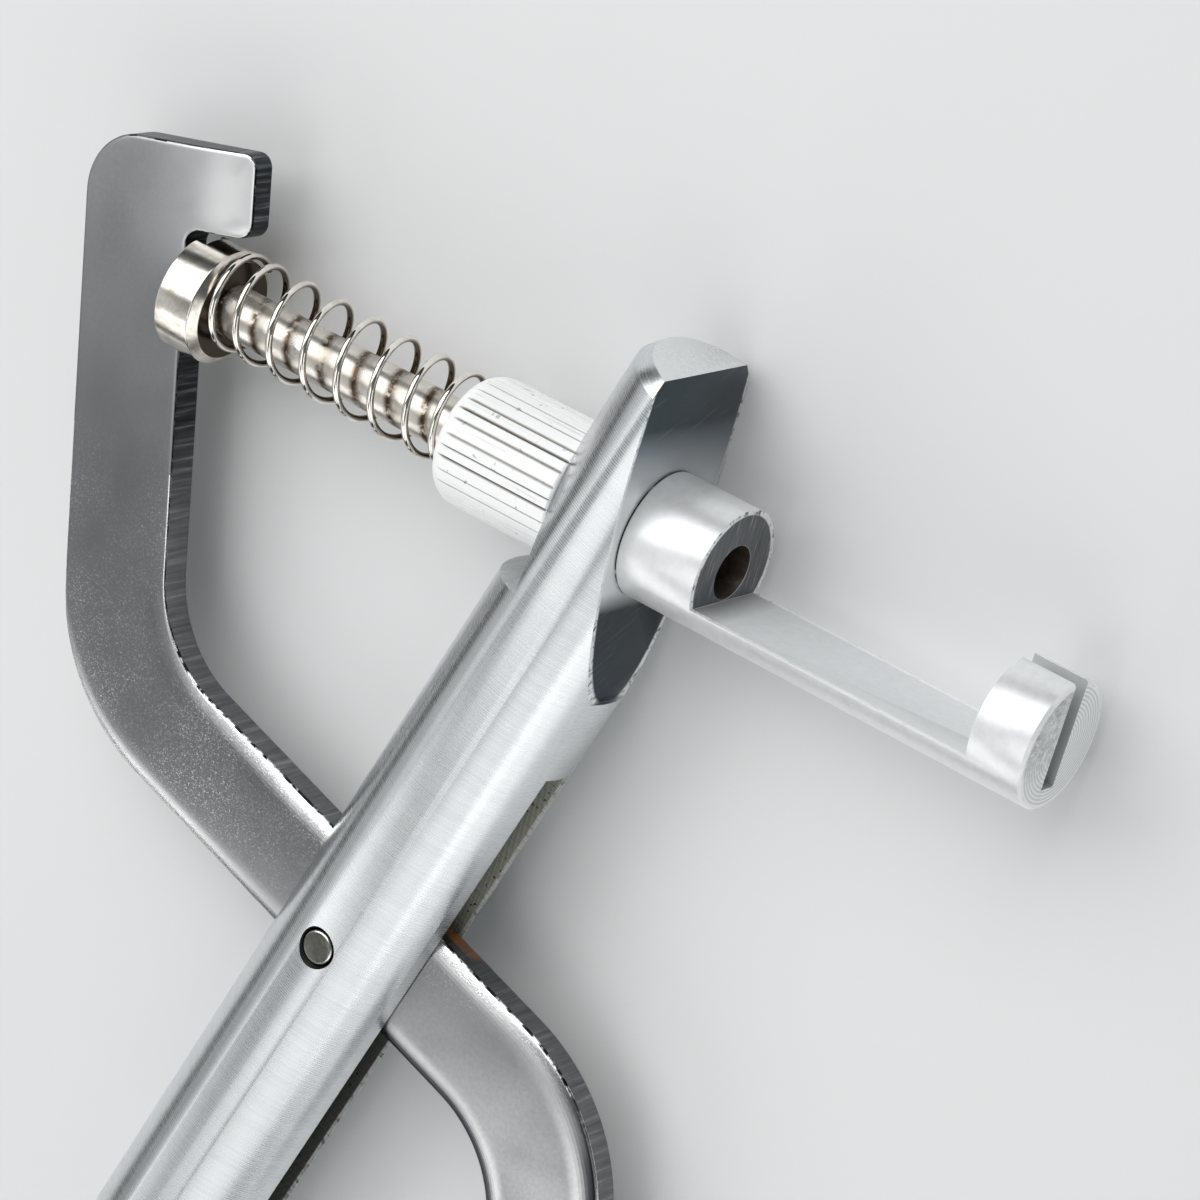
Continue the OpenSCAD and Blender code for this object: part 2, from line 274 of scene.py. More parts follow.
lever = {
    "thick": 3.0,
    "width": 10.3,
    "upperReach": 21.1,
    "lowerReach": 13.9,
    "noseLow": 52.128,
    "noseThick": 6.6,
    "noseLength": 6.0,
    "down": 92.0,
    "noseRound": 1.2,
    "notchRound": 1.2,
    "shoulderRound": 5.0,
    "innerBend": 10.4,
    "outerBend": 16.0,
    "tipRound": 4.4,
    "rollWidth": 2.4,  # the face falls off towards its edges, over this width and by this depth
    "rollDepth": 0.62,
    "rollTop": 24.0,
    "rollEase": 14.0,
    "burrWidth": 0.24,
    "burrDepth": 0.19,
    "backRollWidth": 0.9,
    "backRollDepth": 0.3,
    "domeStart": -0.6,
    "domeWidth": 7.4,
    "domeDepth": 0.62,
    "hole": 1.45,
    "arcSteps": 24,
    "stations": (14, 44, 130, 100, 120, 20),
    "rust": (-25.7, -35.8, -1.1),
    # by the share of the way down the tool: the face's colour and its rolled border's, both painted with light
    # and shade, and how its specks crowd
    "face": [
        (0.0, "#a9aaab"), (0.1, "#989a9b"), (0.27, "#7b7d7f"), (0.38, "#797b7d"), (0.46, "#7b7d7e"),
        (0.5, "#848687"), (0.56, "#a6a7a7"), (0.66, "#dedede"), (0.84, "#a2a3a3"), (1.0, "#9c9d9e"),
    ],
    "border": [(0.53, "#f6f6f6"), (0.575, "#8d8f90"), (0.62, "#4b4d4f"), (0.75, "#55575a"), (0.85, "#dcdcdc")],
    "crowd": [(0.2, "#404040"), (0.4, "#d0d0d0"), (0.5, "#ffffff"), (0.56, "#606060"), (1.0, "#404040")],
}


def tumbledSteel():
    # Steel plate, blanked, tumbled and satin plated: grey and softly grainy, with fine bright specks
    # that crowd near the bends, sheared edges with short lines across them, and a rust streak
    # on the wall where the lever leaves the slot. The face, the nose, the rolled border and the upper wall
    # are painted with light and shade
    masks = ("wall", "rim", "rubbed", "nose")
    material, add, place, wall, rim, rubbed, nose = newMaterial("tumbledPlatedSteel", *masks)
    height = add("SeparateXYZ", (place,), "Y")
    grain, cloud, specks, rustNoise, rimNoise = (
        add("TexNoise", {"Vector": place, "Scale": n / mm, "Detail": d, "Roughness": r, "Distortion": warp})
        for n, d, r, warp in (
            (2.6, 4, 0.65, 0), (0.16, 3, 0.55, 0), (7.5, 3, 0.6, 1), (1.1, 3, 0.6, 0), (0.9, 3, 0.6, 0),
        )
    )
    # painted light and shade: the plate's face is painted paler and darker along the tool, and its rolled
    # border is painted bright down to the lower bend, where it is painted dark
    down = add("MapRange", (height, -80 * mm, 10 * mm, 1.0, 0.0))
    face, border, crowd = (add("ValToRGB", (down,), stops=lever[key]) for key in ("face", "border", "crowd"))
    crowd = add("Math MULTIPLY", (crowd, add("MapRange", (cloud, 0.35, 0.65, 0.3, 1.0))))
    speckled = add("Math MULTIPLY", (add("MapRange", (specks, 0.55, 0.68)), crowd))
    grey = add("MapRange", (grain, 0.3, 0.7, 0.25, 0.0))
    # the nose is painted pale, a painted highlight, and the rolled border takes its painted highlight and shade
    for share, tint in (grey, "#7f8183"), (speckled, "#eeeeee"), (nose, "#e4e4e4"), (rubbed, border):
        face = add("Mix RGBA", (share, face, tint))
    # the wall has short lines across it, from the shears
    shear = stretched(add, place, (2.6, 2.6, 0.13), 3)
    lowWall = add("ValToRGB", (shear,), stops=[(0.3, "#5a5c5e"), (0.55, "#707274"), (0.75, "#929495")])
    highWall = add(
        "ValToRGB", (shear,), stops=[(0.3, "#1e2022"), (0.5, "#34373a"), (0.64, "#5c5f62"), (0.8, "#a9abad")]
    )
    rustPlace = add("VectorMath SUBTRACT", (place, [c * mm for c in lever["rust"]]))
    rustPlace = add("VectorMath MULTIPLY", (rustPlace, (0.5, 0.5, 1.0)))
    rustFar = add("VectorMath LENGTH", (rustPlace,))
    rust = add("MapRange", (rustFar, 0.7 * mm, 1.3 * mm, 1.0, 0.0))
    rust = add("Math MULTIPLY", (rust, add("MapRange", (rustNoise, 0.3, 0.5, 0.3, 1.0))))
    # the rim is a dark line, broken by bright bits low down and bright all round the lower bend
    rimGrain = add("MapRange", (rimNoise, 0.47, 0.6))
    rimGrain = add("Math MULTIPLY", (rimGrain, add("MapRange", (height, -28 * mm, -20 * mm, 1.0, 0.25))))
    rimGrain = add("Math MAXIMUM", (rimGrain, add("MapRange", (height, -45 * mm, -41 * mm, 0.9, 0.0))))
    rimColour = add("Mix RGBA", (rimGrain, "#232527", "#f2f3f3"))
    # the wall is painted dark up the tool, a painted reflection of dark surroundings, and mid-grey lower down
    wallColour = lowWall
    for share, tint in (add("MapRange", (height, -16 * mm, -8 * mm)), highWall), (rust, "#955a1c"):
        wallColour = add("Mix RGBA", (share, wallColour, tint))
    colour = face
    for share, tint in (wall, wallColour), (rim, rimColour):
        colour = add("Mix RGBA", (share, colour, tint))
    roughness = add("MapRange", (cloud, 0.3, 0.7, 0.3, 0.4))
    faceBump = add("Bump", {"Height": grain, "Strength": 0.25, "Distance": 0.03 * mm})
    faceBump = add("Bump", {"Height": speckled, "Strength": 0.5, "Distance": 0.03 * mm, "Normal": faceBump})
    wallBump = add("Bump", {"Height": shear, "Strength": 0.6, "Distance": 0.07 * mm})
    rusty = add("Math MULTIPLY", (rust, wall))
    shader = {
        "Base Color": colour,
        "Metallic": add("MapRange", (rusty, 0.0, 1.0, 1.0, 0.0)),
        "Roughness": add("Mix", (rubbed, roughness, 0.24)),
        "Normal": add("Mix VECTOR", (wall, faceBump, wallBump)),
    }
    return finished(material, add, shader)


def makeLever():
    # both rails run from the middle of the nose's end to the middle of the handle's tip, and a row of
    # points crosses from one to the other at each station, over the face and back under it
    s = lever
    half, halfThick = s["width"] / 2, s["thick"] / 2
    upperOut, lowerOut = s["upperReach"] + s["width"], s["lowerReach"] + s["width"]
    noseEnd = s["upperReach"] - s["noseLength"]
    noseTop = s["noseLow"] + s["noseThick"]
    # of the outer rail and the inner: the nose, the upper reach, the middle and the lower reach, each how
    # far off it lies, and the radii at the upper corner and the two bends
    rails = [
        (noseTop, upperOut, -half, s["lowerReach"], s["shoulderRound"], s["outerBend"], s["innerBend"]),
        (s["noseLow"], s["upperReach"], half, lowerOut, s["notchRound"], s["innerBend"], s["outerBend"]),
    ]
    first = (armSide, -noseEnd, armDir, (s["noseLow"] + noseTop) / 2, 0)
    last = (armSide, (s["lowerReach"] + lowerOut) / 2, armDir, -s["down"], 0)
    # each arc holds arcSteps + 1 points: its start, middle or end pairs the two rails
    starts = 1 + np.arange(5) * (s["arcSteps"] + 1)
    marks = starts[[0, 0, 1, 2, 3, 4, 4]] + np.array([0, 2, 1, 1, 1, 0, 2]) * (s["arcSteps"] // 2)
    paths, sides = [], []
    for nose, upper, middle, lower, corner, upperBend, lowerBend in rails:
        # each corner is where two lines cross, each a direction and how far along it, and has a radius
        corners = [
            first,
            (armSide, -noseEnd, armDir, nose, s["noseRound"]),
            (armSide, -upper, armDir, nose, corner),
            (armSide, -upper, barDir, middle, upperBend),
            (barDir, middle, armSide, lower, lowerBend),
            (armSide, lower, armDir, -s["down"], s["tipRound"]),
            last,
        ]
        places = [(*np.linalg.solve([n, m], [a, b]), r) for n, a, m, b, r in corners]
        path = rounded(places, s["arcSteps"])
        reach = np.concatenate([[0], np.cumsum(np.linalg.norm(np.diff(path, axis=0), axis=1))])
        at = [
            reach[marks[k]] + np.linspace(0, 1, count + 1)[k > 0 :] * (reach[marks[k + 1]] - reach[marks[k]])
            for k, count in enumerate(s["stations"])
        ]
        at = np.concatenate(at)
        paths.append(path)
        sides.append(np.stack([np.interp(at, reach, path[:, c]) for c in (0, 1)], -1))
    a, b = sides
    span = np.linalg.norm(b - a, axis=1)

    # across: bunched at both edges, where the face rolls over
    edgeShare = np.minimum(s["rollWidth"] / np.maximum(span, 0.01), 0.4)[:, None]
    near = edgeShare * (1 - np.sin(np.linspace(math.pi / 2, 0, 13)))[None]
    middle = edgeShare + (1 - 2 * edgeShare) * np.linspace(0, 1, 14)[None, 1:-1]
    across = np.concatenate([near, middle, 1 - near[:, ::-1]], axis=1)
    flat = a[:, None] + (b - a)[:, None] * across[..., None]

    # distance of each point from the outline, as the least over the outline's straight bits
    line = np.concatenate([paths[0], paths[1][::-1]])
    p, q = line[:-1], line[1:]
    keep = np.linalg.norm(q - p, axis=1) > 1e-6
    p, q = p[keep], q[keep]
    points = flat.reshape(-1, 1, 2)
    share = np.clip(((points - p) * (q - p)).sum(-1) / ((q - p) ** 2).sum(-1), 0, 1)
    away = np.sqrt((((p + share[..., None] * (q - p)) - points) ** 2).sum(-1)).min(1).reshape(flat.shape[:2])
    away[:, 0] = away[:, -1] = 0
    away[0] = away[-1] = 0

    def roll(width, depth):
        # a quarter of an ellipse: depth at the edge, nothing at width
        return depth * (1 - np.sqrt(np.clip(1 - (1 - np.clip(away / width, 0, 1)) ** 2, 0, 1)))

    # over the nose the face steps down a little: its slope is a sine squared of the share of the way
    # in, so the height is that share less sin(2 pi share) / (2 pi)
    fromEnd = np.clip(-noseEnd - flat @ armSide, 0, None)
    inward = np.clip((fromEnd - s["domeStart"]) / s["domeWidth"], 0, 1)
    over = np.clip((flat @ armDir - s["noseLow"] + 1.5) / 3, 0, 1)
    dome = s["domeDepth"] * (1 - inward + np.sin(2 * np.pi * inward) / (2 * np.pi)) * over * over * (3 - 2 * over)
    # the face falls off to its edge by a square law, most of it low down, and ends in a small burr
    lowShare = np.clip((s["rollTop"] - flat @ armDir) / s["rollEase"], 0, 1)
    edgeFall = s["rollDepth"] * np.clip(1 - away / s["rollWidth"], 0, 1) ** 2 * (0.2 + 0.8 * lowShare)
    front = halfThick - edgeFall - roll(s["burrWidth"], s["burrDepth"]) - dome
    back = -halfThick + roll(s["backRollWidth"], s["backRollDepth"])
    wallSteps = np.linspace(0, 1, 9)[1:-1]
    wallZ = front[:, -1:] + (back[:, -1:] - front[:, -1:]) * wallSteps
    inWall, outWall = (np.repeat(edge[:, None], len(wallSteps), axis=1) for edge in (b, a))
    loopXY = np.concatenate([flat, inWall, flat[:, ::-1], outWall], axis=1)
    loopZ = np.concatenate([front, wallZ, back[:, ::-1], wallZ[:, ::-1]], axis=1)
    grid = np.concatenate([loopXY + pivot, loopZ[..., None]], axis=-1)
    piece = pieceFromGrid("leverPlate", grid, capEnds=True, smoothDegrees=50)
    drill = around([-4, 4], [s["hole"]] * 2, 96, pivot)
    cutAway(piece, pieceFromGrid("drill", drill, capEnds=True), smoothDegrees=50)

    def rubbedShare(centre, normal):
        # how far the front face tilts, from about 10 degrees to 20: the rolled border, painted with highlight and
        # shade
        return np.clip((0.985 - normal[:, 2]) / 0.045, 0, 1) * (centre[:, 2] > 0) * (centre[:, 1] < -12)

    def noseShare(centre, normal):
        # 1 on the nose's face, easing to 0 over the millimetres before and below it: the nose is painted pale, a
        # painted highlight
        place = centre[:, :2] - pivot
        low = np.clip((place @ armDir - s["noseLow"] + 5) / 6, 0, 1)
        return np.clip((place @ armSide + noseEnd + 13) / 11, 0, 1) ** 1.5 * low * low * (3 - 2 * low)

    faceMasks(
        piece,
        wall=lambda c, n: np.abs(n[:, 2]) < 0.35,
        rim=lambda c, n: (n[:, 2] > 0.35) & (n[:, 2] < 0.84),  # the last of the roll, just before the wall
        rubbed=rubbedShare,
        nose=noseShare,
    )
    return piece


standFor(makeLever(), "lever", tumbledSteel(), "lever")
print("lever made")

# Handle bar

bar = {
    "edgeRound": 0.12,
    "ringPitch": 0.2,
    "sawPitch": 0.3,
    "anisotropy": 0.5,
    # a flat's or the slot's burred rim is painted bright between these radii, a painted glint
    "burrGlint": (6.14, 6.26),  # the radii between which a flat's or the slot's rim is bright
    "burred": (-88.5, 54.0),  # the stretch along the bar, from the pivot, that has bright edges
    "ends": (-80.0, 40.0),  # its end faces lie beyond these
    "slotReach": 6.3,  # the slot's walls lie within this radius, and the cross bore within the next
    "boreReach": 3.6,
    "flareRadius": 1.8,  # the flared mouth of the pivot hole
    "flareHeight": 5.5,
    "turned": ("#d9dcde", "#dfe2e4"),
    "edge": "#f4f5f5",
    # painted shade: the flared mouth round the pin is painted near black
    "flare": "#0d0d0e",
    "end": "#eceeef",
    # the flats from below upwards, painted reflection: darkest below, painted paler beside the collar with the
    # lit collar's reflection, and dark above
    "flat": [
        (0.0, "#3b4348"), (0.29, "#3f474c"), (0.35, "#e6e8ea"), (0.62, "#e2e5e7"),
        (0.74, "#8a9298"), (0.8, "#4a5257"), (1.0, "#3c4449"),
    ],
    "besideCollar": [(0.29, "#000000"), (0.36, "#ffffff"), (0.6, "#ffffff"), (0.78, "#000000")],
}


def turnedAluminium():
    # Bright aluminium bar, turned: fine rings round the bar draw the reflections out along it and
    # fray their borders; the milled flats are scratched and painted dark and pale as painted reflections,
    # with thin burrs round them painted bright as glints
    masks = ("flatFace", "slotFace", "endFace", "edge", "flare")
    material, add, place, flatFace, slotFace, endFace, edge, flare = newMaterial("turnedAluminiumBar", *masks)
    height = add("SeparateXYZ", (place,), "Y")
    turned = {"Vector": place, "Location": (pivot[0] * mm, pivot[1] * mm, 0), "Rotation": (0, 0, -barLean)}
    along = add("Mapping", turned, vector_type="TEXTURE")
    slanted = add("Mapping", {"Vector": place, "Rotation": (0.45, 0, 0)}, vector_type="TEXTURE")
    # rings: fine waves along the bar (their inputs are place, scale, distortion and detail), and noise
    # squeezed along it; the flats have fine slanting scratches
    ringScale, sawScale = (waveScale / (bar[pitch] * mm) for pitch in ("ringPitch", "sawPitch"))
    waves = add("TexWave", (along, ringScale, 2.5, 2.0), "Fac", wave_type="BANDS", bands_direction="Y")
    fray = stretched(add, along, (0.16, 5.2, 0.16), 2, 0.5)
    bands = stretched(add, along, (0.025, 0.42, 0.025), 2)
    scratches = stretched(add, slanted, (0.5, 3.6, 0.16), 4, 0.7)
    rings = add("Mix RGBA", (0.3, fray, waves))
    turnedColour = add("ValToRGB", (bands,), stops=zip((0.3, 0.7), bar["turned"]))
    # painted reflection: the flats' colour is set by height, dark below and above and pale beside the collar
    flatHeight = add("MapRange", (height, -12 * mm, 17 * mm))
    flatColour, besideCollar = (add("ValToRGB", (flatHeight,), stops=bar[k]) for k in ("flat", "besideCollar"))
    # slot walls: dull, with pale arcs from the saw and black specks, and painted dark below the lever, a painted
    # shade
    sawPlace = add("VectorMath MULTIPLY", (along, (1, 0.35, 1)))
    sawn = add("TexWave", (sawPlace, sawScale, 1.2, 1.0), "Fac", wave_type="RINGS", rings_direction="Z")
    slotColour = add("ValToRGB", (sawn,), stops=[(0.0, "#b0b1a6"), (0.8, "#b7b8ad"), (1.0, "#cbccc2")])
    pits, gaps = (add("TexNoise", (place, n / mm, 2.0, 0.6)) for n in (1.9, 1.1))
    pits = add("MapRange", (pits, 0.3, 0.36, 1.0, 0.0))
    # painted shade: the slot's walls darken below the lever
    shadeBelowLever = add("MapRange", (height, -47 * mm, -41 * mm, 0.8, 0.0))
    for share, tint in (pits, "#1c1c1a"), (shadeBelowLever, "#343533"):
        slotColour = add("Mix RGBA", (share, slotColour, tint))
    # burrs: broken lines along the edges and where the flats and the slot run out, painted bright as glints on
    # the real burrs
    cutFace = add("Math MAXIMUM", (flatFace, slotFace))
    burrGlint = add("Math MULTIPLY", (brokenRim(add, along, (1, 0, 1), *bar["burrGlint"]), cutFace))
    brokenEdge = add("Math MULTIPLY", (edge, add("MapRange", (gaps, 0.36, 0.46, 0.25, 1.0))))
    brokenEdge = add("Math MAXIMUM", (brokenEdge, burrGlint))
    ringShare = add("MapRange", (rings, 0.25, 0.75, 0.0, 0.12))
    scratchShare = add("MapRange", (scratches, 0.6, 0.78, 0.0, 0.25))
    colour = add("Mix RGBA", (ringShare, turnedColour, "#aeb4b8"))
    flatColour = add("Mix RGBA", (scratchShare, flatColour, "#b9bfc3"))
    for share, tint in (
        (flatFace, flatColour),
        (slotFace, slotColour),
        (endFace, bar["end"]),
        (brokenEdge, bar["edge"]),
        # the flare's near-black colour is painted shade in the recess round the pin
        (flare, bar["flare"]),
    ):
        colour = add("Mix RGBA", (share, colour, tint))
    roughness = add("MapRange", (rings, 0.25, 0.75, 0.25, 0.32))
    for share, rough in (flatFace, 0.3), (edge, 0.6):
        roughness = add("Mix", (share, roughness, rough))
    # the slot's walls, the burrs and the flat beside the collar scatter light, so they mirror less
    besideCollar = add("Math MULTIPLY", (flatFace, besideCollar))
    dull = add("Math MAXIMUM", (edge, burrGlint))
    dull = add("Math MAXIMUM", (slotFace, dull))
    dull = add("Math MAXIMUM", (dull, besideCollar))
    ringBump, scratchBump = (
        add("Bump", {"Height": relief, "Strength": 0.2, "Distance": 0.02 * mm}) for relief in (rings, scratches)
    )
    shader = {
        "Base Color": colour,
        "Metallic": add("MapRange", (dull, 0.0, 1.0, 1.0, 0.2)),
        "Roughness": roughness,
        "Anisotropic": bar["anisotropy"],
        "Normal": add("Mix VECTOR", (flatFace, ringBump, scratchBump)),
        "Tangent": add("CombineXYZ", (*barDir, 0.0)),
    }
    return finished(material, add, shader)


def onBar(centre):
    # a place's distance along the bar from the pivot, across it, and from its axis
    x, y = centre[:, 0] - pivot[0], centre[:, 1] - pivot[1]
    side = x * barDir[1] - y * barDir[0]
    return x * barDir[0] + y * barDir[1], side, np.hypot(side, centre[:, 2])


def isFlat(centre, normal):
    # faces in the plane of either flat
    near = np.minimum(np.abs(centre[:, 0] - leftFlat), np.abs(centre[:, 0] - rightFlat))
    return (near < 0.01) & (np.abs(normal[:, 0]) > 0.99)


def isSlot(centre, normal):
    # faces in the plane of either wall of the slot, but not the round's own
    inPlane = (np.abs(normal[:, 2]) > 0.9) & (np.abs(np.abs(centre[:, 2]) - slotHalf) < 0.02)
    return inPlane & (onBar(centre)[2] < bar["slotReach"])


def isEnd(centre, normal):
    # faces square to the bar, beyond the ends' places
    along = onBar(centre)[0]
    return (np.abs(normal[:, :2] @ barDir) > 0.95) & ((along < bar["ends"][0]) | (along > bar["ends"][1]))


def isFlare(centre, normal):
    # the mouth of the pivot hole, on either side
    far = np.hypot(centre[:, 0] - pivot[0], centre[:, 1] - pivot[1])
    return (far < bar["flareRadius"]) & (np.abs(centre[:, 2]) > bar["flareHeight"])


def isBarEdge(centre, normal):
    # the rounds between a flat and anything else, and round the slot's mouth: neither flat, wall, end nor turned
    along, side, radius = onBar(centre)
    radial = (normal[:, 0] * barDir[1] - normal[:, 1] * barDir[0]) * side + normal[:, 2] * centre[:, 2]
    turnedFace = radial / np.maximum(radius, 0.01) > 0.998
    milled = np.abs(normal).max(axis=1) > 0.995
    atEnd = (along < bar["burred"][0]) | (along > bar["burred"][1]) | (np.abs(normal[:, :2] @ barDir) > 0.99)
    return ~turnedFace & ~milled & ~atEnd & (radius > bar["boreReach"])


handleBar = edgedCopy("handleBar", "handle_bar", bar["edgeRound"])
faceMasks(handleBar, flatFace=isFlat, slotFace=isSlot, endFace=isEnd, flare=isFlare, edge=isBarEdge)
standFor(handleBar, "frame", turnedAluminium(), "handle_bar")
print("handle bar made")

# Pivot pin: a pin with rounded ends through the bar

# the rim colour is a painted highlight on the pin's rounded ends
pin = {"radius": 1.4, "half": 6.4, "round": 0.3, "grain": ("#62625c", "#7c7c75"), "rim": "#e9e9e6"}


def groundSteel():
    # Ground steel pin, cut off square: dull grey and fine grained, with its rounded rim painted bright, a painted
    # highlight
    material, add, place, rim = newMaterial("groundSteelPin", "rim")
    grain = add("TexNoise", (place, 3.2 / mm, 4.0, 0.6))
    colour = add("ValToRGB", (grain,), stops=zip((0.3, 0.7), pin["grain"]))
    shader = {
        "Base Color": add("Mix RGBA", (rim, colour, pin["rim"])),
        "Metallic": 1.0,
        "Roughness": 0.28,
        "Normal": add("Bump", {"Height": grain, "Strength": 0.3, "Distance": 0.02 * mm}),
    }
    return finished(material, add, shader)


pinProfile = rounded(
    [
        (0, -pin["half"], 0),
        (pin["radius"], -pin["half"], pin["round"]),
        (pin["radius"], pin["half"], pin["round"]),
        (0, pin["half"], 0),
    ],
    6,
)
pivotPin = pieceFromGrid("pivotPin", around(pinProfile[:, 1], pinProfile[:, 0], 72, pivot))
faceMasks(pivotPin, rim=lambda c, n: (np.abs(n[:, 2]) > 0.2) & (np.abs(n[:, 2]) < 0.9))
steelPin = groundSteel()
standFor(pivotPin, "frame", steelPin, "pivot_pin")
print("pivot pin made")

# Plunger: head, rod and push pin, each a profile carried round the pusher axis

head = {
    "start": -65.181,
    "radius": 4.75,
    "chamferLong": 0.55,
    "chamferDeep": 0.72,
    "slotFloor": -64.031,
    "rounds": (0.22, 0.16, 0.12),  # at the lever's side and before and after the chamfer
    "reach": 6.0,  # half the height of the block cut out for the slot
    "stain": "#cfc3b2",
    "springSide": "#4d443a",
}
rod = {
    "end": -19.75,
    "radius": 2.1,
    "round": 0.3,
    "pinRoot": 3.0,
    "stain": "#e3d9ca",
    # the colour of the curls' painted reflection and shadow on the rod, and where one crosses the rod's top
    "curlShade": "#523a1b",
    "curlShadeStart": -54.8,  # where a curl's mark crosses the rod's top, in X
}
pushPin = {"end": -13.95, "radius": 0.5, "round": 0.2}


def nickelPlate(name, stain, roughLow, roughHigh, metal, paintedCurlShade=False):
    # Bright nickel plate over turned brass: warm, with faint turning rings that draw the reflections out
    # into bands along the axis, and brownish stains; on the rod, brown marks along the spring's curls are
    # a painted reflection and shadow of the curls
    material, add, place, springSide = newMaterial(name, "springSide")
    rings = stretched(add, place, (3.6, 0.09, 0.09), 2)
    mottle = add("TexNoise", (place, 0.9 / mm, 4.0, 0.6))
    colour = add("ValToRGB", (mottle,), stops=[(0.34, stain), (0.44, "#ddd7cd"), (0.7, "#f3efe9")])
    colour = add("Mix RGBA", (springSide, colour, head["springSide"]))
    if paintedCurlShade:
        # brown marks that follow the spring's curls, a painted reflection and shadow of the curls: a place's
        # distance along the axis, less the curl's advance at that angle, taken round and round over one pitch
        x, y, z = (add("SeparateXYZ", (place,), axis) for axis in "XYZ")
        level = add("Math SUBTRACT", (y, axisY * mm))
        angle = add("Math ARCTAN2", (z, level))
        advance = add("Math MULTIPLY", (angle, curlPitch * mm / (2 * math.pi)))
        phase = add("Math SUBTRACT", (x, advance))
        phase = add("Math SUBTRACT", (phase, rod["curlShadeStart"] * mm))
        fromCurl = add("Math PINGPONG", (phase, curlPitch / 2 * mm))
        rubbed = add("MapRange", (fromCurl, 0.12 * mm, 0.6 * mm, 1.0, 0.0))
        curlShadeNoise = add("TexNoise", (place, 0.9 / mm, 4.0, 0.7))
        curlShadeNoise = add("MapRange", (curlShadeNoise, 0.38, 0.5, 0.0, 0.95))
        rubbed = add("Math MULTIPLY", (rubbed, curlShadeNoise))
        colour = add("Mix RGBA", (rubbed, colour, rod["curlShade"]))
    bump = add("Bump", {"Height": rings, "Strength": 0.3, "Distance": 0.015 * mm})
    shader = {
        "Base Color": colour,
        "Metallic": metal,
        "Roughness": add("MapRange", (mottle, 0.3, 0.7, roughHigh, roughLow)),
        "Anisotropic": 0.55,
        "Normal": add("Bump", {"Height": mottle, "Strength": 0.15, "Distance": 0.03 * mm, "Normal": bump}),
        "Tangent": add("CombineXYZ", (1.0, 0.0, 0.0)),
    }
    return finished(material, add, shader)


def makeHead():
    # a cup: its outside with a chamfer towards the spring, its bore and the bore's floor; then a block
    # is taken out of it for the slot that the lever's edge rides in
    profile = rounded(
        [
            (head["start"], 0, 0),
            (head["start"], head["radius"], head["rounds"][0]),
            (springStart - head["chamferLong"], head["radius"], head["rounds"][1]),
            (springStart, head["radius"] - head["chamferDeep"], head["rounds"][2]),
            (springStart, rod["radius"], 0),
            (head["slotFloor"], rod["radius"], 0),
            (head["slotFloor"], 0, 0),
        ],
        8,
    )
    piece = pieceFromGrid("plungerHead", around(*profile.T, 160))
    low, high = axisY - head["reach"], axisY + head["reach"]
    ring = [(low, -slotHalf), (high, -slotHalf), (high, slotHalf), (low, slotHalf)]
    block = np.array([[(x, y, z) for y, z in ring] for x in (head["start"] - 1, head["slotFloor"])])
    cutAway(piece, pieceFromGrid("slotCutter", block, capEnds=True))
    return piece


plungerHead = makeHead()
faceMasks(plungerHead, springSide=lambda c, n: (n[:, 0] > 0.97) & (c[:, 0] > springStart - 0.1))
warmNickel = nickelPlate("warmNickelPlate", head["stain"], 0.16, 0.26, 1.0)
standFor(plungerHead, "plunger", warmNickel, "plunger_head")

pinRoot = rod["end"] - rod["pinRoot"]
rodProfile = rounded(
    [
        (head["slotFloor"], 0, 0),
        (head["slotFloor"], rod["radius"], 0),
        (rod["end"], rod["radius"], rod["round"]),
        (rod["end"], pushPin["radius"], 0),
        (pinRoot, pushPin["radius"], 0),
        (pinRoot, 0, 0),
    ],
    5,
)
rodNickel = nickelPlate("mottledNickelRod", rod["stain"], 0.24, 0.36, 0.8, paintedCurlShade=True)
standFor(pieceFromGrid("plungerRod", around(*rodProfile.T)), "plunger", rodNickel, "plunger_rod")

pushPinProfile = rounded(
    [
        (pinRoot, 0, 0),
        (pinRoot, pushPin["radius"], 0),
        (pushPin["end"], pushPin["radius"], pushPin["round"]),
        (pushPin["end"], 0, 0),
    ],
    5,
)
standFor(pieceFromGrid("pushPin", around(*pushPinProfile.T, 48)), "plunger", steelPin, "push_pin")
print("plunger made")

# Return spring: a round wire carried along a coil whose pitch opens from its ends to its middle

spring = {
    "wire": 0.56,
    "outer": 8.0,
    "curls": 8,
    "endPitch": 0.9,
    "ramp": 1.5,
    "headLift": 1.0,
    "sleeveLift": 0.6,
    "turned": 0.15,
    "clear": 0.3,  # from the wire's middle to the faces it rests on
    "keep": 0.443,  # the share of its length when the lever is closed
    "ringsPerCurl": 72,
    "sides": 14,
    # painted shade on the wire's side that faces the spring's axis
    "inside": "#57493a",
}


def nickelWire():
    # Drawn spring wire, nickel plated: smooth and bright, duller in patches, and painted dark on its side that
    # faces the rod, a painted shade
    material, add, place, inside = newMaterial("nickelPlatedWire", "inside")
    wear = add("TexNoise", (place, 1.4 / mm, 3.0, 0.6))
    colour = add("ValToRGB", (wear,), stops=[(0.3, "#e6e0d6"), (0.7, "#fbf8f2")])
    shader = {
        "Base Color": add("Mix RGBA", (inside, colour, spring["inside"])),
        "Metallic": 1.0,
        "Roughness": add("MapRange", (wear, 0.3, 0.7, 0.03, 0.08)),
    }
    return finished(material, add, shader)


